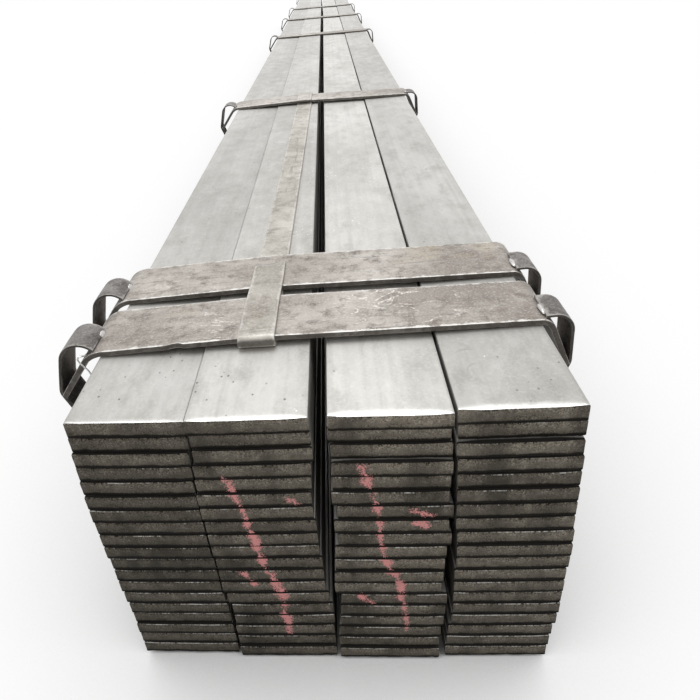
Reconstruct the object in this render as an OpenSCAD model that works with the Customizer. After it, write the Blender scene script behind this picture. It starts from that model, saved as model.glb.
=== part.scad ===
// Strapped bundle of hot-rolled steel flat bars.
// Millimetres. The bars lie along Y with the photographed end towards -Y, X is across the bundle
// and Z is up. The origin is on the floor, on the underside of the strap at mid length.

/* [Flat bars] */
// Width of one flat bar
bar_w = 75; // [50:1:120]
// Thickness of one flat bar
bar_t = 12; // [8:0.5:25]
// Length of one flat bar
bar_len = 6000; // [5000:50:12000]
// Radius of the rolled long edges
bar_edge_r = 1; // [0.5:0.1:2]
// How far the shear cut across each end is off square
end_skew = 3.3; // [0:0.1:6]
// Depth along the bar of the slope that the shear leaves on the top of each end
shear_run = 6; // [2:0.5:12]
// Height of that slope at the end face
shear_drop = 1.2; // [0.5:0.1:3]

/* [Stack] */
// Bars on top of each other in each column
layers = 19; // [4:1:19]
// Gap between two bars of columns 1 and 3
gap_low = 0.3; // [0.2:0.05:0.8]
// Gap between two bars of columns 2 and 4, which stand a little higher
gap_high = 0.4; // [0.2:0.05:0.8]
// Tilt of the bars in column 1, right edge down
tilt_1 = 1.2; // [0:0.1:1.5]
// Tilt of the bars in column 3, right edge down
tilt_3 = 0.8; // [0:0.1:1.5]
// Tilt of the bars in column 4, right edge up
tilt_4 = 0.3; // [0:0.1:1]
// Gap between columns 1 and 2
gap_12 = 0.6; // [0.4:0.1:10]
// Gap between columns 2 and 3
gap_23 = 11; // [9:0.5:30]
// Gap between columns 3 and 4
gap_34 = 1.8; // [0.4:0.1:10]

/* [Cap bands] */
// Width along the bars of each cap band over the top
cap_w = 64; // [40:1:100]
// Thickness of a cap band
cap_t = 4; // [3:0.5:6]
// How steeply the left leg of a cap band turns down
cap_angle_left = 52; // [40:1:60]
// How steeply the right leg of a cap band turns down
cap_angle_right = 68; // [55:1:72]
// Straight length of the left leg
cap_leg_left = 34; // [25:1:50]
// Straight length of the right leg
cap_leg_right = 33; // [25:1:45]
// Inner radius of the bend over the left corner
cap_bend_left = 18; // [8:1:24]
// Inner radius of the bend over the right corner
cap_bend_right = 8; // [5:1:14]
// Radius of the slight bend where a cap band lies on the tie strip
crown_r = 200; // [100:10:400]
// Front edge of the first cap band, from the front ends of the bars
cap_first = 86; // [60:2:200]
// Gap between the two cap bands of an end pair
pair_gap = 16; // [5:1:60]
// Middle of the third cap band, from the front ends of the bars
cap_third = 990; // [600:10:1200]
// Middle of the fourth cap band, from the front ends of the bars
cap_fourth = 2240; // [1600:10:2400]

/* [Straps] */
// Width of the strap that goes round the bundle under each cap band
strap_w = 32; // [20:1:40]
// Thickness of that strap
strap_t = 2; // [1:0.5:3]
// Step from the front edge of a cap band to the front edge of its strap
strap_step = 3; // [0:1:8]
// Radius of the ear that the strap makes over the left corner
ear_r_left = 14.5; // [12:0.5:18]
// Radius of the ear that the strap makes over the right corner
ear_r_right = 13; // [11:0.5:16]
// How steeply the left ear rises off the cap band
ear_rise_left = 50; // [40:1:60]
// How steeply the right ear rises off the cap band
ear_rise_right = 2; // [0:1:45]
// Degrees round the left bend of the cap band at which the ear is welded on
ear_start_left = 20; // [0:1:40]
// Degrees round the right bend of the cap band at which the ear is welded on
ear_start_right = 20; // [0:1:40]
// Straight start of the right ear, before its bend
ear_run_right = 6.5; // [1:0.5:10]
// How far the strap leans in below the tip of a cap leg
strap_lean = 20; // [12:1:30]
// Radius of the strap round a cap tip and where it meets the side of the bars
strap_bend_r = 10; // [8:1:15]

/* [Tie strip] */
// Width of the strip that ties the first three cap bands together
tie_w = 26; // [16:1:32]
// Thickness of that strip
tie_t = 2.5; // [1.5:0.5:3]
// Middle of the tie strip at the front, from the left edge of column 2
tie_inset = 38; // [25:1:45]
// Turn of the tie strip away from the line of the bars
tie_skew = 0.8; // [0:0.1:1.2]
// Length of the front flap past the gap between the first two cap bands
tie_flap_front = 38; // [15:1:60]
// Length of the rear flap past the front edge of the third cap band
tie_flap_rear = 14; // [5:1:40]

/* [Tag wire] */
// Diameter of the bent wire at the front left ear
wire_d = 1.2; // [0.8:0.1:2]

/* [Hidden] */
// Clearance between pieces that rest on each other
seat = 0.3;
// Largest turn between two points of a bend
bend_step = 9;
// Sideways place of each bar in its column, from the top down
shift_1 = [0, -1, -2, -3, -4, -4, -4, -4, -4, -4, -3, -3, -3, -2, -1, -1, -1, -1, -1];
shift_2 = [0, 0, 0, -2, -3, -4, -4, -3, -3, -3, -2, -2, -2, 0, 2, 2, 1, 1, 1];
shift_3 = [0, -1, 0, 0, -1, -2, 1, -2, 0, -3, -4, -5, -6, -2, -3, -4, -6, -7, -7];
shift_4 = [0, 1, 0, 1, 1, 1, 1, 1, 2, 2, 2, 1, 1, 1, 1, 0, -2, -3, -4];
// How far each bar end lies back from the front, from the top down
back_1 = [2, 3, 2, 3, 3, 2, 2, 3, 3, 3, 4, 4, 4, 4, 4, 5, 4, 5, 5];
back_2 = [0, 3, 2, 2, 3, 2, 2, 2, 2, 3, 3, 3, 3, 3, 3, 3, 3, 3, 2];
back_3 = [2, 6, 5, 2, 3, 2, 2, 1, 1, 1, 1, 0, 1, 1, 1, 1, 1, 1, 0];
back_4 = [3, 5, 2, 2, 2, 1, 1, 1, 1, 0, 1, 1, 1, 2, 2, 2, 2, 2, 2];

shift = [shift_1, shift_2, shift_3, shift_4];
back = [back_1, back_2, back_3, back_4];
gap = [gap_low, gap_high, gap_low, gap_high];
tilt = [tilt_1, 0, tilt_3, -tilt_4];
stack_w = 4 * bar_w + gap_12 + gap_23 + gap_34;
// Middle of each column across the bundle
col_x = [
    (bar_w - stack_w) / 2,
    (bar_w - stack_w) / 2 + bar_w + gap_12,
    (stack_w - bar_w) / 2 - bar_w - gap_34,
    (stack_w - bar_w) / 2
];
// Height of the lowest bars, which lie on the straps
base_z = strap_t + seat;
front_y = -bar_len / 2;

// Half width and half height of a tilted bar's section
function half_w(c) = bar_w / 2 * cos(tilt[c]) + bar_t / 2 * sin(abs(tilt[c]));
function half_h(c) = bar_w / 2 * sin(abs(tilt[c])) + bar_t / 2 * cos(tilt[c]);
// Middle height of bar k of column c, counted from the top down
function bar_z(c, k) = base_z + half_h(c) + (layers - 1 - k) * (bar_t + gap[c]) / cos(tilt[c]);
function col_top(c) = bar_z(c, 0) + half_h(c);
stack_top = max([for (c = [0:3]) col_top(c)]);

// Room between the widest bar and the straps on the right
strap_loose = 3;
// Outermost faces that the straps clear, and the outer corners of the top bars
side_left = half_w(0) - col_x[0] - min(shift_1);
side_right = half_w(3) + col_x[3] + max(shift_4) + strap_loose;
top_left = half_w(0) - col_x[0] - shift_1[0];
top_right = half_w(3) + col_x[3] + shift_4[0];

// Front edges of the cap bands along the bundle
front_half = [
    front_y + cap_first,
    front_y + cap_first + cap_w + pair_gap,
    front_y + cap_third - cap_w / 2,
    front_y + cap_fourth - cap_w / 2
];
mid_cap = -strap_step - strap_w / 2;
cap_y = concat(front_half, [mid_cap], [for (i = [3:-1:0]) -front_half[i] - cap_w]);
tied = 3;

$fn = 48;

// The tie strip at the front: its middle across the bundle and the height of its underside
tie_x = col_x[1] - bar_w / 2 + tie_inset;
tie_z = col_top(1) + seat;
// Height that lets a cap band slope down from the tie strip without touching its edges
tie_spare = seat + tie_w / 2 * tan(2.5);
// Underside of a cap band at its highest place, which is over the tie strip on the first ones
function cap_z(i) = i < tied ? tie_z + tie_t + tie_spare : stack_top + seat;
// Height of the middle line of a cap band there
function cap_mid(i) = cap_z(i) + cap_t / 2;

// Where a strip path has got to: [x, z, heading] after a run and a bend
function after_run(p, run) = [p[0] + run * cos(p[2]), p[1] + run * sin(p[2]), p[2]];
function after_bend(p, r, turn) =
    let (s = sign(turn), h = p[2] + turn)
    [p[0] + s * r * (sin(h) - sin(p[2])), p[1] - s * r * (cos(h) - cos(p[2])), h];

// One long edge of a bent strip, which lies off from its middle line. The strip follows runs
// and bends from the origin along +x. Each step is [run, bend radius, turn].
function strip_edge(path, off, p = [0, 0, 0], i = 0) =
    i == len(path) ? [] :
    let (
        q = after_run(p, path[i][0]),
        r = path[i][1],
        turn = path[i][2],
        n = ceil(abs(turn) / bend_step)
    )
    concat(
        i == 0 && path[i][0] > 0 ? [edge_point(p, off)] : [],
        [edge_point(q, off)],
        [for (k = [1:1:n]) edge_point(after_bend(q, r, turn * k / n), off)],
        strip_edge(path, off, after_bend(q, r, turn), i + 1)
    );
function edge_point(p, off) = [p[0] - off * sin(p[2]), p[1] + off * cos(p[2])];
function reversed(list) = [for (i = [len(list) - 1:-1:0]) list[i]];

// A bent strip of metal with its outline upright and its width along +y
module strip(path, w, t) {
    translate([0, w, 0]) rotate([90, 0, 0]) linear_extrude(w)
        polygon(concat(strip_edge(path, t / 2), reversed(strip_edge(path, -t / 2))));
}

module bar_section() {
    r = bar_edge_r;
    translate([r, 0]) square([bar_w - 2 * r, bar_t]);
    translate([0, r]) square([bar_w, bar_t - 2 * r]);
    for (x = [r, bar_w - r], y = [r, bar_t - r]) translate([x, y]) circle(r);
}

// One flat bar along +Y round the z axis, with both ends sheared on the same skew
module bar() {
    slope = atan2(shear_drop, shear_run);
    spare = bar_w / 2;
    aside = spare * tan(end_skew);
    difference() {
        intersection() {
            translate([-bar_w / 2, bar_len + spare, -bar_t / 2])
                rotate([90, 0, 0]) linear_extrude(bar_len + 2 * spare) bar_section();
            translate([0, 0, -bar_t]) linear_extrude(2 * bar_t)
                polygon([
                    [-2 * spare, 2 * aside], [2 * spare, -2 * aside],
                    [2 * spare, bar_len - 2 * aside], [-2 * spare, bar_len + 2 * aside]
                ]);
        }
        for (far = [0, 1])
            translate([0, far * bar_len, bar_t / 2 - shear_drop])
                rotate([0, 0, -end_skew]) rotate([far == 1 ? -slope : slope, 0, 0])
                    translate([-2 * spare, far == 1 ? -2 * shear_run : -shear_run, 0])
                        cube([4 * spare, 3 * shear_run, 2 * shear_drop]);
    }
}

module bars_column(c) {
    color("#8f8d88")
        for (k = [0:layers - 1]) {
            x = col_x[c] + shift[c][k];
            translate([x, front_y + back[c][k] - x * tan(end_skew), bar_z(c, k)])
                rotate([0, tilt[c], 0]) bar();
        }
}

// The two sides of the bundle: [top corner, its height, outermost bar face, angle, bend radius
// and length of the cap band's leg, place and rise of the ear, place of the tie strip, radius
// and straight start of the ear]
left = [
    top_left, col_top(0), side_left, cap_angle_left, cap_bend_left, cap_leg_left,
    ear_start_left, ear_rise_left, -tie_x, ear_r_left, 0
];
right = [
    top_right, col_top(3), side_right, cap_angle_right, cap_bend_right, cap_leg_right,
    ear_start_right, ear_rise_right, tie_x, ear_r_right, ear_run_right
];

// Slope of a cap band from the tie strip down to the corner of the top bar
function slope(side, i) =
    i < tied ? atan((cap_z(i) - side[1] - seat) / (side[0] - side[8])) : 0;

// Length of a cap band from the tie strip's middle to a bend that just clears that corner
function cap_flat(side, i) =
    let (
        s = slope(side, i),
        angle = side[3] - s,
        out = side[0] - bar_edge_r - side[8],
        down = side[1] - bar_edge_r - cap_mid(i),
        r = side[4] - seat - bar_edge_r,
        up = side[4] + cap_t / 2 + out * sin(s) + down * cos(s),
        on_bend = up >= r * cos(angle),
        room = on_bend ? sqrt(r ^ 2 - up ^ 2) : r * sin(angle) + (r * cos(angle) - up) / tan(angle)
    )
    out * cos(s) - down * sin(s) - room;

// A place on a cap band, measured from the middle line over the tie strip along the slope:
// [x outwards from the bundle's middle, z from that middle line, heading]
function on_slope(side, i, p) =
    let (s = slope(side, i))
    [
        side[8] + p[0] * cos(s) + p[1] * sin(s),
        p[1] * cos(s) - p[0] * sin(s),
        p[2] - s
    ];

// Tip of a cap band's leg on its middle line
function cap_tip(side, i) =
    let (bend = after_bend([cap_flat(side, i), 0, 0], side[4] + cap_t / 2, slope(side, i) - side[3]))
    on_slope(side, i, after_run(bend, side[5]));

module cap_band(i) {
    tip = cap_tip(left, i);
    fall_left = slope(left, i);
    fall_right = slope(right, i);
    cut = crown_r * tan((fall_left + fall_right) / 2);
    over_left = cap_flat(left, i) - cut;
    over_right = cap_flat(right, i) - cut;
    turn_left = fall_left - cap_angle_left;
    turn_right = fall_right - cap_angle_right;
    middle = i < tied ? [
        [over_left, crown_r, -fall_left - fall_right],
        [over_right, cap_bend_right + cap_t / 2, turn_right]
    ] : [[over_left + over_right, cap_bend_right + cap_t / 2, turn_right]];
    color("#6f6862")
        translate([-tip[0], cap_y[i], cap_mid(i) + tip[1]]) rotate([0, -cap_angle_left, 0])
            strip(concat(
                [[cap_leg_left, cap_bend_left + cap_t / 2, turn_left]],
                middle,
                [[cap_leg_right, 0, 0]]
            ), cap_w, cap_t);
}

// Where a strap leaves the bend of a cap band
function ear_weld(side, i) =
    let (
        s = slope(side, i),
        r = side[4] + cap_t + seat,
        start = side[6],
        rise = side[7] + s
    )
    on_slope(side, i, [
        cap_flat(side, i) + r * sin(start) - strap_t / 2 * sin(rise),
        r * cos(start) - side[4] - cap_t / 2 + strap_t / 2 * cos(rise),
        rise
    ]);

// One side of a strap, out from the ear's weld, over the tip of the cap's leg and in to the
// bars: [ear turn, run to the tip, turn at the tip, lean run, height where the side run starts]
function strap_side(side, i) =
    let (
        weld = after_run(ear_weld(side, i), side[10]),
        tip = cap_tip(side, i),
        ear_r = side[9],
        ear_c = [weld[0] + ear_r * sin(weld[2]), weld[1] - ear_r * cos(weld[2])],
        mid = -90 - strap_lean / 2,
        hold = strap_bend_r - strap_t / 2 - seat,
        tip_c = [
            tip[0] + cap_t / 2 * sin(side[3]) + hold * sin(mid),
            tip[1] + cap_t / 2 * cos(side[3]) - hold * cos(mid)
        ],
        reach = tip_c - ear_c,
        cross_in = asin((ear_r - strap_bend_r) / norm(reach)),
        head = atan2(reach[1], reach[0]) - cross_in,
        tip_run = norm(reach) * cos(cross_in),
        tip_turn = -90 - strap_lean - head,
        ear_end = after_bend(weld, ear_r, head - weld[2]),
        tip_end = after_bend(after_run(ear_end, tip_run), strap_bend_r, tip_turn),
        line_x = side[2] + seat + strap_t / 2,
        bend_in = strap_bend_r * (1 - cos(strap_lean)),
        lean_run = (tip_end[0] - line_x - bend_in) / sin(strap_lean),
        side_start = after_bend(after_run(tip_end, lean_run), strap_bend_r, strap_lean)
    )
    [weld[2] - head, tip_run, -tip_turn, lean_run, side_start[1]];

module strap(i) {
    weld = ear_weld(left, i);
    l = strap_side(left, i);
    r = strap_side(right, i);
    corner_r = bar_edge_r + seat + strap_t / 2;
    down = cap_mid(i) - strap_t / 2 - corner_r;
    bottom = side_left + side_right + 2 * seat + strap_t - 2 * corner_r;
    color("#83807b")
        translate([-weld[0], cap_y[i] + strap_step, cap_mid(i) + weld[1]])
            rotate([0, ear_rise_left - 180, 0])
                strip([
                    [0, ear_r_left, l[0]],
                    [l[1], strap_bend_r, l[2]],
                    [l[3], strap_bend_r, -strap_lean],
                    [down + l[4], corner_r, 90],
                    [bottom, corner_r, 90],
                    [down + r[4], strap_bend_r, -strap_lean],
                    [r[3], strap_bend_r, r[2]],
                    [r[1], ear_r_right, r[0]],
                    [ear_run_right, 0, 0]
                ], strap_w, strap_t);
}

// The tie strip lies on column 2 under the first three cap bands. Each end is folded up round
// the outer edge of the last cap band and laid back over it.
module tie_strip() {
    low = tie_z + tie_t / 2;
    high = cap_z(0) + cap_t + seat + tie_t / 2;
    fold_r = (high - low) / 2;
    slack = seat + tie_w * sin(tie_skew);
    front = cap_y[0] - slack;
    rear = cap_y[tied - 1] + cap_w + slack;
    flap_front = slack + cap_w + pair_gap + tie_flap_front;
    flap_rear = slack + cap_w + tie_flap_rear;
    color("#7d7a74")
        translate([tie_x, front, high])
            rotate([0, 0, -90 - tie_skew])
                translate([-flap_front, -tie_w / 2, 0])
                    strip([
                        [flap_front, fold_r, -180],
                        [rear - front, fold_r, -180],
                        [flap_rear, 0, 0]
                    ], tie_w, tie_t);
}

function unit(v) = v / norm(v);

// A round bar or wire through a list of points, as rings of eight corners
module wire(points, d) {
    sides = 8;
    n = len(points);
    along = [for (i = [0:n - 1]) unit(points[min(i + 1, n - 1)] - points[max(i - 1, 0)])];
    rings = [for (i = [0:n - 1])
        let (u = unit(cross(along[i], [0.2, 1, 0.1])), v = cross(along[i], u))
        for (k = [0:sides - 1])
            points[i] + d / 2 * (cos(k * 360 / sides) * u + sin(k * 360 / sides) * v)];
    polyhedron(rings, concat(
        [[for (k = [0:sides - 1]) k]],
        [for (i = [0:n - 2], k = [0:sides - 1], half = [0, 1])
            let (a = i * sides + k, b = i * sides + (k + 1) % sides)
            half == 0 ? [a, a + sides, b + sides] : [a, b + sides, b]],
        [[for (k = [sides - 1:-1:0]) (n - 1) * sides + k]]
    ));
}

// Loose wire that lies on the first cap band's left bend, inside the ear, and hangs over its
// front edge. Its points are counted from the middle of the leg's tip: up the leg, back from
// the front edge, and off the leg's middle.
module tag_wire() {
    ahead = -seat - wire_d / 2;
    bend = [cap_leg_left, -cap_bend_left - cap_t / 2];
    reach = cap_bend_left + cap_t + seat + wire_d / 2;
    over = bend + reach * [sin(23), cos(23)];
    hook = [
        [over[0], 9, over[1]], [over[0], 4, over[1]], [over[0] + 0.2, ahead, over[1] + 0.7],
        [over[0], ahead - 2, over[1] + 2.4], [over[0] - 1.2, ahead - 2.6, over[1] + 4],
        [over[0] - 4, ahead - 2.4, over[1] + 3.8], [over[0] - 6, ahead - 2, over[1] + 1.4],
        [over[0] - 7.4, ahead - 1.8, over[1] - 2.6], [over[0] - 9, ahead - 1.6, over[1] - 6.4],
        [over[0] - 11.3, ahead - 1.4, over[1] - 9.4]
    ];
    tip = cap_tip(left, 0);
    color("#a9a9a6")
        translate([-tip[0], cap_y[0], cap_mid(0) + tip[1]])
            rotate([0, -cap_angle_left, 0]) wire(hook, wire_d);
}

for (c = [0:3])
    bars_column(c);
for (i = [0:8]) {
    cap_band(i);
    strap(i);
}
tie_strip();
tag_wire();
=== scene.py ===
# Strapped bundle of hot-rolled steel flat bars, dressed for the render.
# Metres. +Y runs along the bars away from the photographed end, X is across and Z is up.

import math
import random

import bmesh
import bpy
from mathutils import Matrix, Vector, noise


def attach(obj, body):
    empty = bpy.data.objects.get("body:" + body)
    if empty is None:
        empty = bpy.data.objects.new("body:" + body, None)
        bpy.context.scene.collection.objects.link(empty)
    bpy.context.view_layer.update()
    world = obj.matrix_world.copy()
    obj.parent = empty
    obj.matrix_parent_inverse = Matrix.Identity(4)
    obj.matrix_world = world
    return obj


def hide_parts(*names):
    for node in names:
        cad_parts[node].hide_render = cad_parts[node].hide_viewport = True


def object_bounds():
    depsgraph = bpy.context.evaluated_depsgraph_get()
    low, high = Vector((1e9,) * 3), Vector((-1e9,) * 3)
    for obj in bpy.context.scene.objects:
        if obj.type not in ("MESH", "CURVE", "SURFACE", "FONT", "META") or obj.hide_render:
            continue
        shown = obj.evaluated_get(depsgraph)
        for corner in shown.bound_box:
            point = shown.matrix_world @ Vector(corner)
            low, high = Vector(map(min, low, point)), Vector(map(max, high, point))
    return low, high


MM = 0.001

# Points of a solid that are nearer to each other than this are joined, in metres
JOIN_WITHIN = 1e-6

# Angles in degrees: an edge of a mesh is sharp past the first, a strip ends past the second
SHARP_ANGLE = 38
STRIP_END_ANGLE = 60

# Sizes in millimetres and degrees. Those of the solids are repeated from the part's source.
BAR_W = 75
BAR_T = 12
BAR_EDGE_R = 1
END_SKEW = 3.3
CAP_W = 64
CAP_T = 4
CAP_EDGE_R = 0.7
STRAP_W = 32
STRAP_T = 2
STRAP_EDGE_R = 0.5
TIE_W = 26
TIE_T = 2.5
TIE_EDGE_R = 0.6
TIE_SKEW = 0.8
COLUMNS = 4
CAPS = 9

# Distance between the rings of points along a bent strip, in millimetres
CAP_STEP = 4
STRAP_STEP = 5
TIE_STEP = 3

# Lines of points on a bar in millimetres: from its edges, across its middle, up from its middle,
# and back from each end. BAR_BODY holds shares of its length.
BAR_EDGE_LINES = [0, BAR_EDGE_R, 2.5, 5, 8.5, 13]
BAR_MIDDLE_LINES = [-19, -14, -9.5, -4.5, 0, 4.5, 9.5, 14, 19]
BAR_HEIGHT_LINES = [-3, -1, 1, 3, 4.2]
BAR_END_STEPS = [0, 0.5, 1.3, 2.4, 3.8, 5.4, 7.5, 12, 30, 120]
BAR_BODY = (0.08, 0.2, 0.35, 0.5, 0.65, 0.8, 0.92)

# Free end of the tie strip in millimetres: how far back it is bent, and its torn tongue
TIE_CURL = 14
TIE_TONGUE = 6

# Nick in the front edge of the first cap band: its place and half width in metres,
# and how far it goes in and down in millimetres
NICK_X = -0.101
NICK_HALF_WIDTH = 0.0035
NICK_IN = 2.2
NICK_DOWN = 0.5

# Weld tacks in millimetres: half sizes along the strap, across it and up,
# and how far the tack lies from the middle of the strap
TACK_LEFT = ((2.2, 4.5, 1.3), 9)
TACK_RIGHT = ((1.9, 7.5, 1.2), -4)
TACK_INSET = 0.6
TACK_RISE = 0.5

# The shear's work on each bar end
ROLL_RUN = 6
ROLL_DROP = 1.2
ROLL_TAPER = 14
TEAR_DEPTH = 0.5

# First of the seeds for the tones of the bars, one a column
TONE_SEED = 40

# How pale the tops of the four columns look in the photograph
COLUMN_TONE = [0.93, 1.03, 1.13, 0.93]
# How pale their end faces look
END_TONE = [0.85, 1.05, 1.22, 1.22]
# How strongly the shear rolled over their top edges
COLUMN_ROLL = [0.4, 0.75, 1.1, 1.0]

# How far the chalk strokes waver, in millimetres
CHALK_WAVER = 14
# Chalk strokes on the ends of columns 2 and 3, as points across and up in millimetres
CHALK_STROKES = [
    [(-64, 188), (-55, 150), (-50, 112), (-40, 72), (-40, 30)],
    [(-26, 168), (-17, 164)],
    [(-66, 96), (-60, 88)],
    [(24, 194), (33, 158), (34, 120), (46, 78), (48, 36)],
    [(54, 156), (68, 153)],
    [(56, 144), (64, 142)],
    [(18, 74), (26, 66)],
]

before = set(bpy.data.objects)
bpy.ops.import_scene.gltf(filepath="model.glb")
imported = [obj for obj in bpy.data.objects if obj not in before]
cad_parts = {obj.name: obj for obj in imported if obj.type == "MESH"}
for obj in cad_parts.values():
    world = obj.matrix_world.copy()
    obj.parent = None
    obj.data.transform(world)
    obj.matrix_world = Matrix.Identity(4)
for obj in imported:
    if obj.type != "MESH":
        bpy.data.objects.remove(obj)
cad_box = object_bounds()


# Mesh helpers

def make_object(name, points, faces, layers=None):
    mesh = bpy.data.meshes.new(name)
    mesh.from_pydata(points, [], faces)
    mesh.update()
    for key, values in (layers or {}).items():
        layer = mesh.attributes.new(key, "FLOAT", "POINT")
        layer.data.foreach_set("value", values)
    mesh.polygons.foreach_set("use_smooth", [True] * len(mesh.polygons))
    mesh.set_sharp_from_angle(angle=math.radians(SHARP_ANGLE))
    obj = bpy.data.objects.new(name, mesh)
    bpy.context.collection.objects.link(obj)
    return obj


def turn_faces_outward(obj):
    bm = bmesh.new()
    bm.from_mesh(obj.data)
    bmesh.ops.recalc_face_normals(bm, faces=bm.faces)
    bm.to_mesh(obj.data)
    bm.free()


def finish_piece(obj, material, slot, *nodes):
    """Give a piece its material and body, and hide the solids that it stands for."""
    obj.data.materials.append(material)
    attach(obj, "root")
    if nodes:
        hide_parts(*nodes)
    return obj


def wobble(x, y, z, scale, seed=0.0):
    """Smooth noise between about -1 and 1."""
    return noise.noise(Vector((x * scale + seed, y * scale, z * scale)))


def smooth(t):
    """A soft step from 0 to 1 as t goes from 0 to 1."""
    t = max(0.0, min(1.0, t))
    return t * t * (3 - 2 * t)


def cad_object(node):
    return bpy.data.objects[node]


def merged_solid(node):
    """The mesh of a solid of the frame, with its points joined."""
    bm = bmesh.new()
    bm.from_mesh(cad_object(node).data)
    bmesh.ops.remove_doubles(bm, verts=bm.verts, dist=JOIN_WITHIN)
    return bm


# Bars: their places are read off the solids of the frame

def bar_places(node):
    """Middle, tilt and end planes of each bar of a column, from its solids, top bar first."""
    bm = merged_solid(node)
    skew = math.tan(math.radians(END_SKEW))
    seen = set()
    places = []
    for start in bm.verts:
        if start in seen:
            continue
        stack = [start]
        seen.add(start)
        part = []
        while stack:
            v = stack.pop()
            part.append(v.co.copy())
            for e in v.link_edges:
                other = e.other_vert(v)
                if other not in seen:
                    seen.add(other)
                    stack.append(other)
        places.append(measure_bar(part, skew))
    bm.free()
    places.sort(key=lambda p: -p["z"])
    return places


def measure_bar(part, skew):
    """Middle, tilt and end planes of one bar, from the points of its solid."""
    ends = [p.y + p.x * skew for p in part]
    back = max(ends)
    front = min(ends)
    rear = [p for p in part if p.y + p.x * skew > back - 20 * MM]
    low = [p for p in rear if p.z < sum(q.z for q in rear) / len(rear)]
    left = min(low, key=lambda p: p.x)
    right = max(low, key=lambda p: p.x)
    tilt = math.atan2(right.z - left.z, right.x - left.x)
    base = Vector(((left.x + right.x) / 2, 0, (left.z + right.z) / 2))
    rise = (BAR_T / 2 - BAR_EDGE_R) * MM
    return {
        "x": base.x - rise * math.sin(tilt),
        "z": base.z + rise * math.cos(tilt),
        "tilt": tilt,
        "front": front,
        "back": back,
    }


def bar_grid():
    """Lines of the section grid: across and up, in millimetres from the middle."""
    half_w = BAR_W / 2
    half_t = BAR_T / 2
    across = [-half_w + e for e in BAR_EDGE_LINES]
    across += BAR_MIDDLE_LINES
    across += [half_w - e for e in reversed(BAR_EDGE_LINES)]
    up = [-half_t, -half_t + BAR_EDGE_R] + BAR_HEIGHT_LINES + [half_t - BAR_EDGE_R, half_t]
    return across, up


def section_point(i, j, across, up):
    """A crossing of the grid's lines, drawn in at the rounded corners of the section."""
    u = across[i]
    w = up[j]
    if i in (0, len(across) - 1) and j in (0, len(up) - 1):
        inset = BAR_EDGE_R * (1 - math.sqrt(0.5))
        u -= math.copysign(inset, u)
        w -= math.copysign(inset, w)
    return u, w


def roll_shape(u, seed):
    """How strongly the shear rolled the top edge over at a place across the bar, 0 to 1."""
    taper = smooth((BAR_W / 2 - abs(u)) / ROLL_TAPER)
    return (0.25 + 0.75 * taper) * (1 + 0.22 * wobble(u, seed, 0, 0.09, 3.1))


def end_depth(u, w, seed):
    """How far the torn end face lies behind the end plane, in millimetres."""
    torn = smooth((2.5 - w) / 5)
    rough = 0.28 * wobble(u, w * 0.6, seed, 0.35, 9.0) + 0.16 * wobble(u, w, seed, 1.1, 2.0)
    return TEAR_DEPTH * torn * (0.55 + 0.45 * wobble(u, 0, seed, 0.06)) + rough * (0.35 + torn)


def add_bar(points, faces, layers, place, tones, seed):
    """Add one bar to a column's mesh, with torn ends and the layers that its material reads."""
    across, up = bar_grid()
    nu = len(across)
    nw = len(up)
    length = (place["back"] - place["front"]) / MM
    body = [length * share for share in BAR_BODY]
    stations = BAR_END_STEPS + body + [length - s for s in reversed(BAR_END_STEPS)]
    outline = [(i, 0) for i in range(nu)]
    outline += [(nu - 1, j) for j in range(1, nw)]
    outline += [(i, nw - 1) for i in range(nu - 2, -1, -1)]
    outline += [(0, j) for j in range(nw - 2, 0, -1)]
    skew = math.tan(math.radians(END_SKEW))
    turn = Matrix.Rotation(-place["tilt"], 3, "Y")

    def put(i, j, along, end_distance, inside):
        u, w = section_point(i, j, across, up)
        end_seed = seed + (0 if along < length / 2 else 31)
        roll = roll_shape(u, end_seed) * tones["roll"]
        run = ROLL_RUN * (0.3 + 0.65 * roll)
        near = max(0.0, 1 - end_distance / run)
        high = smooth((w - 1) / (BAR_T / 2 - 1))
        w_here = w - ROLL_DROP * roll * near ** 2 * high
        push = end_depth(u, w, end_seed) * max(0.0, 1 - end_distance / 1.2)
        if j == nw - 1 or j == 0 or i == 0 or i == nu - 1:
            push = max(push, 0.0) + 0.15
        y = along + (push if along < length / 2 else -push)
        local = turn @ Vector((u * MM, 0, w_here * MM))
        x = place["x"] + local.x
        points.append((x, place["front"] + y * MM - x * skew, place["z"] + local.z))
        # On the lower bars the rolled notch is marked for painted shade, since the bar above keeps light
        # out of it.
        rolled = near * high if w > 3 else 0.0
        layers["roll"].append(rolled if tones["top"] else 0.0)
        layers["crevice_shade"].append(0.0 if tones["top"] else rolled)
        layers["end"].append(1.0 if inside or end_distance < 0.3 else 0.0)
        layers["height"].append((w + BAR_T / 2) / BAR_T)
        layers["tone"].append(tones["face"])
        layers["end_tone_and_light"].append(tones["end"])
        return len(points) - 1

    rings = []
    for along in stations:
        distance = min(along, length - along)
        rings.append([put(i, j, along, distance, False) for i, j in outline])
    count = len(outline)
    for a, b in zip(rings, rings[1:]):
        for k in range(count):
            m = (k + 1) % count
            faces.append((a[k], a[m], b[m], b[k]))
    for ring, along, flip in ((rings[0], 0, False), (rings[-1], length, True)):
        index = {key: ring[k] for k, key in enumerate(outline)}
        for i in range(1, nu - 1):
            for j in range(1, nw - 1):
                index[(i, j)] = put(i, j, along, 0, True)
        for i in range(nu - 1):
            for j in range(nw - 1):
                quad = (index[(i, j)], index[(i + 1, j)], index[(i + 1, j + 1)], index[(i, j + 1)])
                faces.append(tuple(reversed(quad)) if flip else quad)


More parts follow.
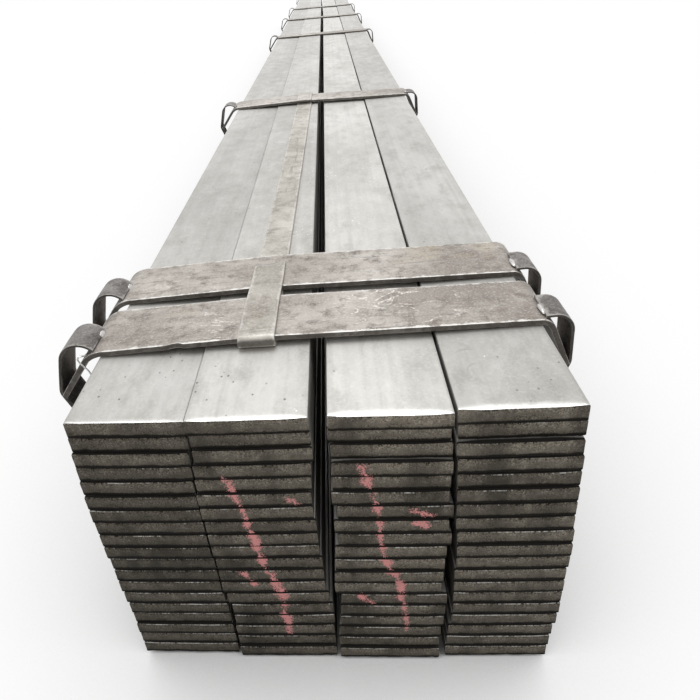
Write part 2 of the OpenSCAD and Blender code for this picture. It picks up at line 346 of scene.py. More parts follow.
def make_columns(material):
    for c in range(COLUMNS):
        node = f"bars_column_{c + 1}"
        points = []
        faces = []
        keys = ("roll", "crevice_shade", "end", "height", "tone", "end_tone_and_light")
        layers = {key: [] for key in keys}
        rng = random.Random(TONE_SEED + c)
        for k, place in enumerate(bar_places(node)):
            tones = {
                "top": k == 0,
                "face": COLUMN_TONE[c] if k == 0 else 0.9 + 0.14 * rng.random(),
                # The factor with exp(-k / 3) makes the ends of the upper bars paler: painted light from
                # above.
                "end": END_TONE[c] * (0.85 + 0.3 * rng.random()) * (1 + 0.4 * math.exp(-k / 3)),
                "roll": COLUMN_ROLL[c] if k == 0 else 0.8,
            }
            add_bar(points, faces, layers, place, tones, 7.3 * c + 1.7 * k)
        obj = make_object(f"flat_bars_{c + 1}", points, faces, layers)
        turn_faces_outward(obj)
        finish_piece(obj, material, "bars", node)


# Bent strips: their middle lines are read off the solids of the frame

def middle_line(node, across):
    """Middle line of a bent strip, from one side of its solid."""
    bm = merged_solid(node)
    low = min(v.co.dot(across) for v in bm.verts)
    high = max(v.co.dot(across) for v in bm.verts)

    def on_side(v):
        return v.co.dot(across) < (low + high) / 2

    rim = {}
    for e in bm.edges:
        if not (on_side(e.verts[0]) and on_side(e.verts[1])):
            continue
        sides = sum(all(on_side(v) for v in f.verts) for f in e.link_faces)
        if sides == len(e.link_faces):
            continue
        for v in e.verts:
            rim.setdefault(v, []).append(e.other_vert(v))
    first = next(iter(rim))
    loop = [first]
    last = None
    while True:
        here = loop[-1]
        options = [v for v in rim[here] if v is not last]
        last = here
        if options[0] is first and len(loop) > 2:
            break
        loop.append(options[0])
    loop = [v.co.copy() for v in loop]
    bm.free()
    count = len(loop)
    corners = []
    for k in range(count):
        a = (loop[k] - loop[k - 1]).normalized()
        b = (loop[(k + 1) % count] - loop[k]).normalized()
        if a.angle(b) > math.radians(STRIP_END_ANGLE):
            corners.append(k)
    pairs = [(a, b) for a, b in zip(corners, corners[1:] + corners[:1]) if (b - a) % count == 1]
    start = pairs[0][1]
    half = count // 2
    side_a = [loop[(start + k) % count] for k in range(half)]
    side_b = [loop[(start - 1 - k) % count] for k in range(half)]
    middle = (low + high) / 2
    line = []
    for a, b in zip(side_a, side_b):
        p = (a + b) / 2
        line.append(p + across * (middle - p.dot(across)))
    return line


def resample(line, step):
    """Points along the middle line, about one step apart."""
    out = [line[0]]
    for a, b in zip(line, line[1:]):
        gap = (b - a).length
        parts = max(1, round(gap / step))
        for k in range(1, parts + 1):
            out.append(a.lerp(b, k / parts))
    return out


def strip_section(width, thick, edge_r):
    """Rounded section of a strip as (across, off the middle, wear) in millimetres."""
    half = width / 2
    near = [edge_r, edge_r + 0.8, edge_r + 2.2, edge_r + 5]
    inner = width - 2 * near[-1]
    parts = max(2, round(inner / 6))
    middle = [near[-1] + inner * k / parts for k in range(1, parts)]
    row = near + middle + [width - n for n in reversed(near)]
    wear_row = [0.9, 0.7, 0.35, 0.08] + [0.0] * len(middle) + [0.08, 0.35, 0.7, 0.9]
    corner = edge_r * (1 - math.sqrt(0.5))
    t = thick / 2
    loop = [(s - half, t, w) for s, w in zip(row, wear_row)]
    loop += [(half - corner, t - corner, 1.0), (half, t - edge_r, 0.6), (half, edge_r - t, 0.4)]
    loop += [(half - corner, corner - t, 0.8)]
    loop += [(s - half, -t, w) for s, w in zip(reversed(row), reversed(wear_row))]
    loop += [(corner - half, corner - t, 0.8), (-half, edge_r - t, 0.4), (-half, t - edge_r, 0.6)]
    loop += [(corner - half, t - corner, 1.0)]
    return loop


def sweep_strip(name, line, across, size, step, shape):
    """A strip swept along its middle line. size holds its width, thickness and edge radius,
    and shape gives how far each point is moved."""
    line = resample(line, step * MM)
    section = strip_section(*size)
    points = []
    faces = []
    wear = []
    total = sum((b - a).length for a, b in zip(line, line[1:]))
    along = 0.0
    rings = []
    for k, p in enumerate(line):
        before = line[max(k - 1, 0)]
        after = line[min(k + 1, len(line) - 1)]
        direction = (after - before).normalized()
        normal = direction.cross(across).normalized()
        if k:
            along += (p - line[k - 1]).length
        ring = []
        for s, off, w in section:
            q = p + across * (s * MM) + normal * (off * MM)
            q = q + shape(q, s, along / MM, across, normal, direction)
            ring.append(len(points))
            points.append(tuple(q))
            end = max(0.0, 1 - min(along, total - along) / (1.5 * MM))
            wear.append(max(w, 0.8 * end))
        rings.append(ring)
    count = len(section)
    for a, b in zip(rings, rings[1:]):
        for k in range(count):
            m = (k + 1) % count
            faces.append((a[k], a[m], b[m], b[k]))
    faces.append(tuple(reversed(rings[0])))
    faces.append(tuple(rings[-1]))
    obj = make_object(name, points, faces, {"wear": wear})
    turn_faces_outward(obj)
    return obj


def cap_shape(i):
    """Waves and ragged edges of a cap band, and the nick in the first one."""
    seed = 3.3 * i

    def move(q, s, along, across, normal, direction):
        wave = 0.25 * wobble(along, s, seed, 0.02) + 0.12 * wobble(along, s, seed, 0.07, 5)
        edge = smooth((abs(s) - (CAP_W / 2 - 3)) / 3)
        ragged = 0.5 * wobble(along, seed, s, 0.1, 8) + 0.3 * wobble(along, seed, s, 0.45, 4)
        side = abs(ragged) * edge
        down = 0.0
        if i == 0 and s < 0:
            nick = math.exp(-((q.x - NICK_X) / NICK_HALF_WIDTH) ** 2)
            side += NICK_IN * nick * edge
            down = NICK_DOWN * nick * edge
        side = -math.copysign(1, s) * side
        return normal * ((wave * 0.6 - down) * MM) + across * (side * MM)
    return move


def strap_shape(seed):
    """Slight waves of a strap."""
    def move(q, s, along, across, normal, direction):
        wave = 0.22 * wobble(along, s, seed, 0.05)
        side = 0.5 * wobble(along, seed, 0, 0.02, 6)
        return normal * (wave * MM) + across * (side * MM)
    return move


def paint(obj, key, amount):
    """Give each point of a mesh a value worked out from its place."""
    layer = obj.data.attributes.new(key, "FLOAT", "POINT")
    layer.data.foreach_set("value", [amount(v.co) for v in obj.data.vertices])


def cap_dull(p):
    """Where a cap band keeps its dark scale: towards its right end, and a little at the left."""
    return max(0.8 * smooth((p.x - 0.02) / 0.13), 0.35 * smooth((-0.1 - p.x) / 0.05))


def cap_marks(p):
    """Where the first cap band is scratched pale: right of the middle, and a little on the left."""
    right = smooth((p.x - 0.0) / 0.03) * smooth((0.12 - p.x) / 0.03)
    left = 0.8 * math.exp(-((p.x + 0.075) / 0.022) ** 2)
    return max(right, left)


def cap_stain(p):
    """Where the second cap band is rusty: its rear half, right of the middle."""
    along = smooth((p.x - 0.04) / 0.04) * smooth((0.17 - p.x) / 0.03)
    rear = smooth((p.y - cad_box[0].y - 0.196) / 0.012)
    return 0.24 * along * rear - 0.1


def make_caps_and_straps(cap_material, strap_material, weld_material):
    across = Vector((0, 1, 0))
    for i in range(CAPS):
        name = f"cap_band_{i + 1}"
        line = middle_line(name, across)
        obj = sweep_strip(f"cap_{i + 1}", line, across, (CAP_W, CAP_T, CAP_EDGE_R), CAP_STEP, cap_shape(i))
        paint(obj, "dull", cap_dull)
        if i == 0:
            paint(obj, "marks", cap_marks)
        if i == 1:
            paint(obj, "stain", cap_stain)
        finish_piece(obj, cap_material, "cap_bands", name)
        name = f"strap_{i + 1}"
        line = middle_line(name, across)
        size = (STRAP_W, STRAP_T, STRAP_EDGE_R)
        obj = sweep_strip(f"strap_loop_{i + 1}", line, across, size, STRAP_STEP, strap_shape(5.1 * i))
        finish_piece(obj, strap_material, "straps", name)
        make_tacks(i, line, weld_material)


def make_tacks(i, line, material):
    """A lump of weld metal at each end of a strap."""
    side = Vector((0, 1, 0))
    up = Vector((0, 0, 1))
    for end, at, ahead in (("a", line[0], line[1]), ("b", line[-1], line[-2])):
        direction = (ahead - at).normalized()
        left = at.x < 0
        size, shift = TACK_LEFT if left else TACK_RIGHT
        middle = at - direction * TACK_INSET * MM + side * shift * MM + up * TACK_RISE * MM
        bm = bmesh.new()
        bmesh.ops.create_icosphere(bm, subdivisions=3, radius=1)
        for v in bm.verts:
            lump = 1 + 0.25 * noise.noise(v.co * 1.6 + Vector((i * 3.1, 0, 2 if left else 7)))
            local = v.co * Vector(size) * lump * MM
            v.co = middle + direction * local.x + side * local.y + up * local.z
        mesh = bpy.data.meshes.new(f"tack_{i + 1}{end}")
        bm.to_mesh(mesh)
        bm.free()
        mesh.polygons.foreach_set("use_smooth", [True] * len(mesh.polygons))
        obj = bpy.data.objects.new(f"weld_tack_{i + 1}{end}", mesh)
        bpy.context.collection.objects.link(obj)
        finish_piece(obj, material, "straps")


def make_tie(material):
    """The tie strip, with a torn tongue at its free end."""
    turn = math.radians(TIE_SKEW)
    across = Vector((math.cos(turn), -math.sin(turn), 0))
    line = middle_line("tie_strip", across)
    if line[0].y > line[-1].y:
        line.reverse()

    def move(q, s, along, across, normal, direction):
        wave = -0.2 + 0.2 * wobble(along, s, 2.2, 0.05)
        side = 0.5 * wobble(along, 0, 4.4, 0.02)
        if along < TIE_CURL:
            loose = 1 - along / TIE_CURL
            tongue = smooth((s - 6) / 4)
            wave -= 0.5 * loose * (1 - tongue) * (0.7 + 0.5 * wobble(s, 0, 1.1, 0.3))
            reach = TIE_TONGUE * tongue * loose ** 3 + 1.2 * loose ** 4 * wobble(s, 3, 0, 0.4)
            return normal * (wave * MM) + across * (side * MM) - direction * (reach * MM)
        return normal * (wave * MM) + across * (side * MM)

    obj = sweep_strip("tie", line, across, (TIE_W, TIE_T, TIE_EDGE_R), TIE_STEP, move)
    finish_piece(obj, material, "tie_strip", "tie_strip")


# Materials

class Tree:
    """Short calls that add and link shader nodes."""

    def __init__(self, name):
        self.material = bpy.data.materials.new(name)
        self.material.use_nodes = True
        self.nodes = self.material.node_tree.nodes
        self.links = self.material.node_tree.links
        self.shader = self.nodes["Principled BSDF"]

    def add(self, kind, inputs=None, **settings):
        node = self.nodes.new(kind)
        for key, value in settings.items():
            setattr(node, key, value)
        for key, value in (inputs or {}).items():
            self.feed(node.inputs[key], value)
        return node

    def feed(self, socket, value):
        if isinstance(value, bpy.types.NodeSocket):
            self.links.new(value, socket)
        else:
            socket.default_value = value

    def math(self, operation, a, b=0.0, clamp=False):
        node = self.add("ShaderNodeMath", {0: a, 1: b}, operation=operation, use_clamp=clamp)
        return node.outputs[0]

    def vector(self, operation, a, b=(0, 0, 0)):
        return self.add("ShaderNodeVectorMath", {0: a, 1: b}, operation=operation)

    def attribute(self, name):
        return self.add("ShaderNodeAttribute", attribute_name=name).outputs["Fac"]

    def place(self):
        return self.add("ShaderNodeTexCoord").outputs["Object"]

    def facing(self, axis):
        """How far the surface faces along an axis, from -1 to 1."""
        normal = self.add("ShaderNodeNewGeometry").outputs["Normal"]
        return self.add("ShaderNodeSeparateXYZ", {0: normal}).outputs[axis]

    def stretched(self, scale):
        return self.vector("MULTIPLY", self.place(), scale).outputs["Vector"]

    def noise(self, scale, detail=4.0, rough=0.55, stretch=(1, 1, 1), distortion=0.0):
        node = self.add(
            "ShaderNodeTexNoise",
            {"Vector": self.stretched(stretch), "Scale": scale, "Detail": detail,
             "Roughness": rough, "Distortion": distortion},
        )
        return node.outputs["Fac"]

    def spots(self, scale, stretch=(1, 1, 1)):
        node = self.add("ShaderNodeTexVoronoi", {"Vector": self.stretched(stretch), "Scale": scale})
        return node.outputs["Distance"]

    def band(self, value, low, high, to_low=0.0, to_high=1.0):
        """The value's way from low to high, turned into a way from to_low to to_high."""
        node = self.add(
            "ShaderNodeMapRange",
            {"Value": value, "From Min": low, "From Max": high, "To Min": to_low, "To Max": to_high},
        )
        return node.outputs["Result"]

    def mix(self, factor, a, b, blend="MIX"):
        node = self.add("ShaderNodeMix", data_type="RGBA", blend_type=blend)
        self.feed(node.inputs[0], factor)
        self.feed(node.inputs[6], a)
        self.feed(node.inputs[7], b)
        return node.outputs[2]

    def bump(self, height, strength, distance, normal=None):
        node = self.add("ShaderNodeBump", {"Height": height, "Strength": strength, "Distance": distance})
        if normal:
            self.feed(node.inputs["Normal"], normal)
        return node.outputs["Normal"]

    def set(self, **values):
        for key, value in values.items():
            self.feed(self.shader.inputs[key.replace("_", " ").title()], value)


def rgb(r, g, b):
    return (r, g, b, 1.0)


def chalk_distance(tree):
    """Distance in millimetres from the chalk strokes, seen from the end of the bundle."""
    place = tree.place()
    flat = tree.vector("MULTIPLY", place, (1000, 0, 1000)).outputs["Vector"]
    bend = tree.add("ShaderNodeTexNoise", {"Vector": flat, "Scale": 0.035, "Detail": 2.0})
    push = tree.vector("SUBTRACT", bend.outputs["Color"], (0.5, 0.5, 0.5)).outputs["Vector"]
    push = tree.vector("MULTIPLY", push, (CHALK_WAVER, 0, CHALK_WAVER)).outputs["Vector"]
    flat = tree.vector("ADD", flat, push).outputs["Vector"]
    nearest = None
    for stroke in CHALK_STROKES:
        for (ax, az), (bx, bz) in zip(stroke, stroke[1:]):
            run = Vector((bx - ax, 0, bz - az))
            to = tree.vector("SUBTRACT", flat, (ax, 0, az)).outputs["Vector"]
            dot = tree.vector("DOT_PRODUCT", to, tuple(run)).outputs["Value"]
            part = tree.math("MULTIPLY", dot, 1 / run.length_squared, clamp=True)
            foot = tree.add("ShaderNodeVectorMath", {0: tuple(run), "Scale": part}, operation="SCALE")
            away = tree.vector("SUBTRACT", to, foot.outputs["Vector"]).outputs["Vector"]
            length = tree.vector("LENGTH", away).outputs["Value"]
            nearest = length if nearest is None else tree.math("MINIMUM", nearest, length)
    return nearest


def tinted(tree, colour, tone):
    """The colour times a tone that a layer of the mesh holds."""
    grey = tree.add("ShaderNodeCombineColor", {0: tone, 1: tone, 2: tone}).outputs[0]
    return tree.mix(1.0, colour, grey, "MULTIPLY")


def height_above_floor(tree):
    return tree.add("ShaderNodeSeparateXYZ", {0: tree.place()}).outputs["Z"]


def rolled_colour(tree, patches, mottle, grain):
    """Grey mill scale with streaks along the bar, dust, pits, pale flecks and hair scratches."""
    cloud = tree.noise(2.2, 3.0, stretch=(4, 1, 4))
    streak = tree.noise(1.0, 3.0, stretch=(170, 1.6, 170))
    top = tree.mix(tree.band(cloud, 0.35, 0.65), rgb(0.50, 0.49, 0.465), rgb(0.63, 0.62, 0.595))
    top = tree.mix(tree.band(streak, 0.42, 0.68, 0, 0.42), top, rgb(0.42, 0.41, 0.385))
    top = tree.mix(tree.band(patches, 0.5, 0.66, 0, 0.3), top, rgb(0.38, 0.37, 0.345))
    top = tree.mix(tree.band(patches, 0.46, 0.3, 0, 0.25), top, rgb(0.72, 0.71, 0.685))
    top = tree.mix(tree.band(mottle, 0.5, 0.7, 0, 0.55), top, rgb(0.34, 0.33, 0.305))
    top = tree.mix(tree.band(mottle, 0.46, 0.3, 0, 0.4), top, rgb(0.74, 0.73, 0.705))
    top = tree.mix(tree.band(grain, 0.5, 0.78, 0, 0.4), top, rgb(0.72, 0.71, 0.685))
    dust = tree.band(tree.noise(1400, 2.0, 0.7), 0.58, 0.7, 0, 0.6)
    dust = tree.math("MULTIPLY", dust, tree.band(patches, 0.42, 0.6))
    top = tree.mix(dust, top, rgb(0.2, 0.19, 0.17))
    pits = tree.math("LESS_THAN", tree.spots(130, (1, 0.7, 1)), 0.1)
    pits = tree.math("MULTIPLY", pits, tree.band(tree.noise(16, 2.0), 0.5, 0.6, 0, 0.75))
    top = tree.mix(pits, top, rgb(0.12, 0.11, 0.095))
    flecks = tree.math("LESS_THAN", tree.spots(190, (1, 0.6, 1)), 0.11)
    where = tree.band(tree.noise(11, 2.0, distortion=0.6), 0.54, 0.62, 0, 0.8)
    top = tree.mix(tree.math("MULTIPLY", flecks, where), top, rgb(0.98, 0.97, 0.95))
    hair = tree.math("SUBTRACT", tree.noise(14, 1.0, 0.3, distortion=1.2), 0.5)
    hair = tree.band(tree.math("ABSOLUTE", hair), 0.004, 0.001, 0, 0.4)
    where = tree.band(tree.noise(19, 2.0, 0.5, (1, 0.5, 1)), 0.56, 0.64)
    return tree.mix(tree.math("MULTIPLY", hair, where), top, rgb(0.3, 0.29, 0.265))


def side_shade_and_light(tree, patches, mottle):
    """Bar sides darkened as painted shade, and paler near the top of the stack as painted light."""
    side = tree.mix(tree.band(mottle, 0.35, 0.7), rgb(0.10, 0.095, 0.085), rgb(0.24, 0.23, 0.21))
    # Painted light: the sides high in the stack are paler.
    lit_high_up = tree.band(height_above_floor(tree), 0.17, 0.235, 0, 0.85)
    lit_high_up = tree.math("MULTIPLY", lit_high_up, tree.band(patches, 0.4, 0.55, 0.4, 1))
    return tree.mix(lit_high_up, side, rgb(0.62, 0.61, 0.58))


def with_sheared_edge_and_highlight(tree, colour, roll, mottle):
    """The bright metal of the edge that the shear rolled over, with a ragged border, and a painted
    highlight along its front lip.
    """
    ragged = tree.math("ADD", roll, tree.band(tree.noise(170, 5.0, 0.75), 0.3, 0.7, -0.45, 0.45))
    ragged = tree.math("MULTIPLY", tree.band(ragged, 0.15, 0.6, 0, 0.9), tree.band(roll, 0.0, 0.2))
    sheared_and_lip_highlight = tree.mix(tree.band(mottle, 0.4, 0.62), rgb(0.52, 0.52, 0.5), rgb(0.66, 0.66, 0.64))
    # Painted highlight: near white along the front lip of the rolled edge.
    sheared_and_lip_highlight = tree.mix(tree.band(roll, 0.6, 0.95), sheared_and_lip_highlight, rgb(0.9, 0.9, 0.88))
    return tree.mix(ragged, colour, sheared_and_lip_highlight)


def end_face_colour(tree, mottle, lines, fine):
    """Sheared end: torn low down, lined above, specked by the top edge, with painted shade at the foot."""
    height = tree.attribute("height")
    blotch = tree.noise(75, 5.0, 0.65, stretch=(1, 1, 1.8))
    torn = tree.mix(tree.band(fine, 0.4, 0.64), rgb(0.05, 0.045, 0.036), rgb(0.2, 0.18, 0.147))
    cut = tree.mix(tree.band(lines, 0.38, 0.66), rgb(0.15, 0.133, 0.108), rgb(0.24, 0.215, 0.177))
    cut = tree.mix(tree.band(fine, 0.52, 0.6, 0, 0.75), cut, rgb(0.06, 0.053, 0.043))
    cut = tree.mix(tree.band(fine, 0.45, 0.36, 0, 0.6), cut, rgb(0.42, 0.39, 0.335))
    border = tree.math("ADD", height, tree.band(blotch, 0.3, 0.7, -0.35, 0.35))
    colour = tree.mix(tree.band(border, 0.2, 0.62), torn, cut)
    smudge = tree.noise(1.0, 3.0, 0.55, stretch=(34, 1, 14))
    colour = tree.mix(tree.band(smudge, 0.48, 0.66, 0, 0.75), colour, rgb(0.045, 0.041, 0.034))
    specks = tree.noise(1.0, 4.0, 0.8, stretch=(420, 1, 230))
    specks = tree.math("ADD", specks, tree.band(height, 0.72, 0.95, -0.16, 0.03))
    where = tree.band(blotch, 0.44, 0.52, 0, 0.85)
    specks = tree.math("MULTIPLY", tree.band(specks, 0.53, 0.58), where)
    colour = tree.mix(specks, colour, rgb(0.012, 0.01, 0.008))
    # Painted shade: the foot of each bar end is near black, as the gap under it falls in shade.
    foot = tree.math("ADD", height, tree.band(mottle, 0.3, 0.7, -0.05, 0.05))
    colour = tree.mix(tree.band(foot, 0.23, 0.13, 0, 0.95), colour, rgb(0.006, 0.005, 0.004))
    # The end tone holds the column's tone and painted light that makes the upper bars' ends paler.
    colour = tinted(tree, colour, tree.attribute("end_tone_and_light"))
    low_down = tree.band(height_above_floor(tree), 0.2, 0.02, 0, 0.16)
    glint = tree.noise(1.0, 3.0, 0.8, stretch=(420, 1, 90))
    glint = tree.math("ADD", tree.noise(1.0, 2.0, 0.6, stretch=(26, 1, 90)), glint)
    glint = tree.band(tree.math("ADD", glint, low_down), 1.1, 1.3, 0, 0.9)
    glint = tree.math("MULTIPLY", glint, tree.band(height, 0.9, 0.95))
    colour = tree.mix(glint, colour, rgb(0.85, 0.84, 0.8))
    chalk = chalk_cover(tree, height)
    return tree.mix(chalk, colour, rgb(1.0, 0.43, 0.42))


def chalk_cover(tree, height):
    """Grainy chalk near the strokes, thicker on the upper half of each bar end."""
    distance = chalk_distance(tree)
    gaps = tree.band(tree.noise(90, 4.0, 0.7), 0.3, 0.7, -0.2, 0.2)
    gaps = tree.math("ADD", tree.noise(1000, 3.0, 0.8), gaps)
    reach = tree.band(distance, 0.2, 5.2, 0.63, 0.3)
    reach = tree.math("ADD", reach, tree.band(height, 0.3, 0.95, -0.07, 0.05))
    chalk = tree.band(tree.math("SUBTRACT", reach, gaps), 0.0, 0.05, 0, 0.92)
    chalk = tree.math("MULTIPLY", chalk, tree.band(distance, 5.6, 4.4))
    return tree.math("MULTIPLY", chalk, tree.math("LESS_THAN", tree.facing("Y"), -0.5))


def bar_material():
    tree = Tree("hot_rolled_bars")
    roll = tree.attribute("roll")
    crevice_shade = tree.attribute("crevice_shade")
    patches = tree.noise(16, 5.0, 0.6, stretch=(1, 0.3, 1), distortion=0.4)
    mottle = tree.noise(56, 6.0, 0.66, stretch=(1, 0.5, 1))
    grain = tree.noise(420, 3.0, 0.6)
    lines = tree.noise(1.0, 4.0, 0.7, stretch=(520, 520, 130))
    fine = tree.noise(950, 3.0, 0.7)

    sideways = tree.math("ABSOLUTE", tree.facing("X"))
    lengthwise = tree.math("ABSOLUTE", tree.facing("Y"))
    face = tree.math("GREATER_THAN", lengthwise, 0.62)
    face = tree.math("MULTIPLY", face, tree.band(tree.attribute("end"), 0.2, 0.6))

    colour = rolled_colour(tree, patches, mottle, grain)
    # Bar sides: painted shade, with painted light near the top of the stack.
    side = side_shade_and_light(tree, patches, mottle)
    colour = tree.mix(tree.band(sideways, 0.5, 0.85), colour, side)
    colour = with_sheared_edge_and_highlight(tree, colour, roll, mottle)
    colour = tinted(tree, colour, tree.attribute("tone"))
    # Painted shade: near black in the rolled notch of each lower bar, under the bar above.
    colour = tree.mix(tree.band(crevice_shade, 0.1, 0.5, 0, 0.95), colour, rgb(0.01, 0.009, 0.008))
    colour = tree.mix(face, colour, end_face_colour(tree, mottle, lines, fine))

    rough = tree.band(mottle, 0.3, 0.75, 0.42, 0.6)
    rough = tree.math("MAXIMUM", rough, tree.band(face, 0, 1, 0, 0.62))
    rough = tree.math("SUBTRACT", rough, tree.band(roll, 0.1, 0.6, 0, 0.12))
    open_to_light = tree.band(crevice_shade, 0.05, 0.3, 1, 0)
    metal = tree.math("MULTIPLY", tree.band(face, 0, 1, 0.5, 0.05), open_to_light)
    gloss = tree.math("MULTIPLY", tree.band(face, 0, 1, 0.5, 0.08), open_to_light)
    wave = tree.noise(22, 3.0, 0.5, stretch=(1, 0.35, 1))
    relief = tree.bump(wave, 0.35, 0.0006)
    relief = tree.bump(grain, 0.35, 0.00012, relief)
    torn_relief = tree.math("MULTIPLY", tree.math("ADD", lines, fine), face)
    relief = tree.bump(torn_relief, 0.7, 0.0005, relief)
    tree.set(Base_Color=colour, Roughness=rough, Metallic=metal, Normal=relief)
    tree.feed(tree.shader.inputs["Specular IOR Level"], gloss)
    return tree.material


def strip_material(name, dark, light, worn, rust=0.0, edge=0.75, blots=0.9, way=(9, 160, 160)):
    """Mill scale on a strip, rubbed bright along its edges. way stretches the seams along it."""
    tree = Tree(name)
    wear = tree.attribute("wear")
    cloud = tree.noise(11, 5.0, 0.62, distortion=0.4)
    mottle = tree.noise(70, 6.0, 0.7)
    grain = tree.noise(600, 3.0, 0.6)
    colour = tree.mix(tree.band(cloud, 0.38, 0.62), dark, light)
    darker = rgb(dark[0] * 0.5, dark[1] * 0.47, dark[2] * 0.45)
    colour = tree.mix(tree.band(mottle, 0.48, 0.66, 0, blots), colour, darker)
    dull = tree.band(tree.noise(26, 5.0, 0.7), 0.38, 0.6, 0.35, 1.0)
    dull = tree.math("MULTIPLY", dull, tree.attribute("dull"))
    colour = tree.mix(dull, colour, rgb(dark[0] * 0.62, dark[1] * 0.58, dark[2] * 0.56))
    seam = tree.noise(1.0, 3.0, 0.5, stretch=way, distortion=0.3)
    colour = tree.mix(tree.band(seam, 0.6, 0.7, 0, 0.6), colour, darker)
    colour = tree.mix(tree.band(grain, 0.5, 0.76, 0, 0.4), colour, worn)
    scratch = tree.noise(1.0, 2.0, 0.5, stretch=(30, 520, 60), distortion=0.4)
    marks = tree.band(scratch, 0.66, 0.72, 0, 0.55)
    colour = tree.mix(tree.math("MULTIPLY", marks, tree.band(cloud, 0.45, 0.6)), colour, worn)
    if rust:
        patch = tree.math("ADD", tree.noise(9, 4.0, 0.62), tree.attribute("stain"))
        flecks = tree.band(tree.noise(260, 3.0, 0.7), 0.38, 0.58)
        patch = tree.math("MULTIPLY", tree.band(patch, 0.6, 0.78), flecks)
        colour = tree.mix(tree.math("MULTIPLY", patch, rust), colour, rgb(0.56, 0.46, 0.27))
        line = tree.noise(1.0, 2.0, 0.4, stretch=(16, 42, 16), distortion=1.6)
        line = tree.math("ABSOLUTE", tree.math("SUBTRACT", line, 0.5))
        line = tree.math("MULTIPLY", tree.band(line, 0.014, 0.005), tree.band(grain, 0.4, 0.56))
        line = tree.math("MULTIPLY", line, tree.attribute("marks"))
        colour = tree.mix(tree.math("MULTIPLY", line, 0.85), colour, rgb(0.92, 0.85, 0.82))
    upright = tree.math("ABSOLUTE", tree.facing("Y"))
    # Painted shade: the strip's upright faces, towards and away from the bundle's end, are made dark.
    colour = tree.mix(tree.band(upright, 0.75, 0.95, 0, 0.75), colour, rgb(0.07, 0.063, 0.056))
    scuff = tree.math("ADD", wear, tree.band(tree.noise(120, 4.0, 0.7), 0.3, 0.7, -0.55, 0.4))
    scuff = tree.band(scuff, 0.45, 0.8, 0, edge)
    scuff = tree.math("MULTIPLY", scuff, tree.band(upright, 0.85, 0.97, 1, 0.15))
    colour = tree.mix(scuff, colour, worn)
    rough = tree.band(mottle, 0.3, 0.8, 0.42, 0.68)
    relief = tree.bump(cloud, 0.4, 0.0012)
    relief = tree.bump(mottle, 0.55, 0.0006, relief)
    relief = tree.bump(grain, 0.45, 0.00018, relief)
    shine = tree.band(upright, 0.75, 0.95, 1, 0.25)
    metal = tree.math("MULTIPLY", shine, 0.4)
    gloss = tree.math("MULTIPLY", shine, 0.5)
    tree.set(Base_Color=colour, Roughness=rough, Metallic=metal, Normal=relief)
    tree.feed(tree.shader.inputs["Specular IOR Level"], gloss)
    return tree.material


def plain_metal(name, colour, roughness, metallic):
    tree = Tree(name)
    darker = rgb(*[c * 0.6 for c in colour[:3]])
    tint = tree.mix(tree.band(tree.noise(500, 3.0), 0.35, 0.7), colour, darker)
    relief = tree.bump(tree.noise(700, 3.0), 0.5, 0.0002)
    tree.set(Base_Color=tint, Roughness=roughness, Metallic=metallic, Normal=relief)
    return tree.material


# Camera at the place the photograph was taken from

CAMERA_AT = (0.0218, -3.2996, 0.4667)
CAMERA_DOWN = 30.98
CAMERA_LEFT = 2.15
CAMERA_ROLL = 5.17
FOCAL_PX = 639.1
IMAGE_PX = 700
CENTRE_PX = (329.4, 344.2)
SENSOR_MM = 36

# Floor: half its side and how far the bundle's contact shade reaches, in metres
FLOOR_HALF = 40
SHADE_REACH = 0.35

# Lamp and sky: strengths, and the lamp's width in degrees and its direction
LAMP_STRENGTH = 1.45
LAMP_WIDTH = 40
LAMP_WAY = (0.05, -0.35, -1)
SKY_STRENGTH = 0.5


def make_camera():
    """The camera, pitched down, turned left and rolled by the angles above."""
    data = bpy.data.cameras.new("camera")
    data.sensor_width = SENSOR_MM
    data.lens = FOCAL_PX / IMAGE_PX * SENSOR_MM
    data.shift_x = (IMAGE_PX / 2 - CENTRE_PX[0]) / IMAGE_PX
    data.shift_y = (CENTRE_PX[1] - IMAGE_PX / 2) / IMAGE_PX
    data.clip_start = 0.02
    data.clip_end = 100
    pitch = math.radians(CAMERA_DOWN)
    roll = math.radians(CAMERA_ROLL)
    yaw = Matrix.Rotation(math.radians(CAMERA_LEFT), 3, "Z")
    level = yaw @ Vector((1, 0, 0))
    ahead = yaw @ Vector((0, math.cos(pitch), -math.sin(pitch)))
    down = ahead.cross(level)
    right = level * math.cos(roll) + down * math.sin(roll)
    lower = down * math.cos(roll) - level * math.sin(roll)
    turn = Matrix((right, -lower, -ahead)).transposed()
    obj = bpy.data.objects.new("camera", data)
    bpy.context.collection.objects.link(obj)
    obj.matrix_world = Matrix.Translation(CAMERA_AT) @ turn.to_4x4()
    bpy.context.scene.camera = obj


def make_floor():
    """White where the camera sees it, apart from the shade near the bundle."""
    half = FLOOR_HALF
    points = [(-half, -half, 0), (half, -half, 0), (half, half, 0), (-half, half, 0)]
    obj = make_object("floor", points, [(0, 1, 2, 3)])
    tree = Tree("pale_floor")
    rays = tree.add("ShaderNodeLightPath").outputs
    white = tree.add("ShaderNodeEmission", {"Color": rgb(1, 1, 1), "Strength": 1.0})
    seen = tree.math("MAXIMUM", rays["Is Camera Ray"], rays["Is Transmission Ray"])
    seen = tree.math("MAXIMUM", seen, rays["Is Glossy Ray"])
    open_air = tree.add("ShaderNodeAmbientOcclusion", {"Distance": SHADE_REACH}, samples=8)
    seen = tree.math("MULTIPLY", seen, tree.band(open_air.outputs["AO"], 0.25, 0.9))
    tree.set(Base_Color=rgb(0.5, 0.5, 0.5), Roughness=0.9)
    mixed = tree.add("ShaderNodeMixShader", {0: seen})
    tree.links.new(tree.shader.outputs[0], mixed.inputs[1])
    tree.links.new(white.outputs[0], mixed.inputs[2])
    tree.links.new(mixed.outputs[0], tree.nodes["Material Output"].inputs["Surface"])
    obj.data.materials.append(tree.material)


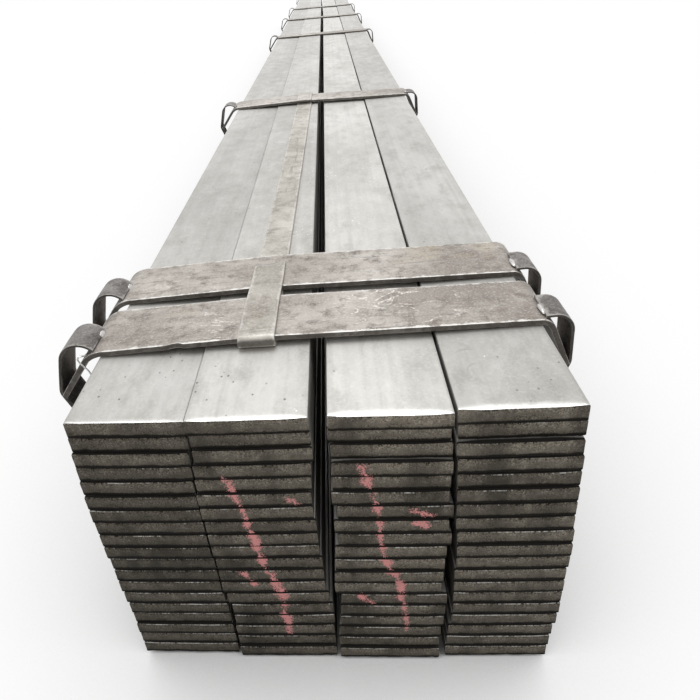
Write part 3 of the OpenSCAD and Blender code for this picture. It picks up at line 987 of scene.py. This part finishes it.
def make_world():
    """A soft sky that the camera and glossy reflections see as white."""
    world = bpy.data.worlds.new("studio")
    world.use_nodes = True
    bpy.context.scene.world = world
    nodes = world.node_tree.nodes
    links = world.node_tree.links
    rays = nodes.new("ShaderNodeLightPath")
    soft = nodes["Background"]
    soft.inputs["Color"].default_value = rgb(1.0, 0.99, 0.97)
    soft.inputs["Strength"].default_value = SKY_STRENGTH
    white = nodes.new("ShaderNodeBackground")
    white.inputs["Color"].default_value = rgb(1, 1, 1)
    white.inputs["Strength"].default_value = 1.0
    mixed = nodes.new("ShaderNodeMixShader")
    direct = nodes.new("ShaderNodeMath")
    direct.operation = "MAXIMUM"
    links.new(rays.outputs["Is Camera Ray"], direct.inputs[0])
    links.new(rays.outputs["Is Transmission Ray"], direct.inputs[1])
    seen = nodes.new("ShaderNodeMath")
    seen.operation = "MAXIMUM"
    links.new(direct.outputs[0], seen.inputs[0])
    links.new(rays.outputs["Is Glossy Ray"], seen.inputs[1])
    links.new(seen.outputs[0], mixed.inputs[0])
    links.new(soft.outputs[0], mixed.inputs[1])
    links.new(white.outputs[0], mixed.inputs[2])
    links.new(mixed.outputs[0], nodes["World Output"].inputs["Surface"])


def make_sun(name, energy, angle, direction):
    data = bpy.data.lights.new(name, "SUN")
    data.energy = energy
    data.angle = math.radians(angle)
    obj = bpy.data.objects.new(name, data)
    bpy.context.collection.objects.link(obj)
    obj.rotation_euler = Vector(direction).to_track_quat("-Z", "Y").to_euler()


make_camera()
make_floor()
make_world()
make_sun("overhead", LAMP_STRENGTH, LAMP_WIDTH, LAMP_WAY)

BARS = bar_material()
CAP_STEEL = strip_material("cap_scale", rgb(0.36, 0.325, 0.29), rgb(0.62, 0.58, 0.535),
                           rgb(0.88, 0.87, 0.84), rust=0.8)
STRAP_STEEL = strip_material("strap_scale", rgb(0.12, 0.109, 0.102), rgb(0.26, 0.242, 0.229),
                             rgb(0.60, 0.58, 0.55), edge=0.5)
TIE_STEEL = strip_material("tie_scale", rgb(0.37, 0.34, 0.295), rgb(0.62, 0.59, 0.54),
                           rgb(0.86, 0.85, 0.82), edge=0.35, blots=0.6, way=(160, 14, 160))
WELD = plain_metal("weld_bead", rgb(0.72, 0.71, 0.69), 0.35, 0.8)
WIRE = plain_metal("bare_wire", rgb(0.8, 0.8, 0.78), 0.3, 0.9)

make_columns(BARS)
make_caps_and_straps(CAP_STEEL, STRAP_STEEL, WELD)
make_tie(TIE_STEEL)

wire = cad_object("tag_wire")
if not wire.material_slots:
    wire.data.materials.append(None)
for material_slot in wire.material_slots:
    material_slot.material = WIRE

bpy.context.scene.view_settings.view_transform = "Standard"
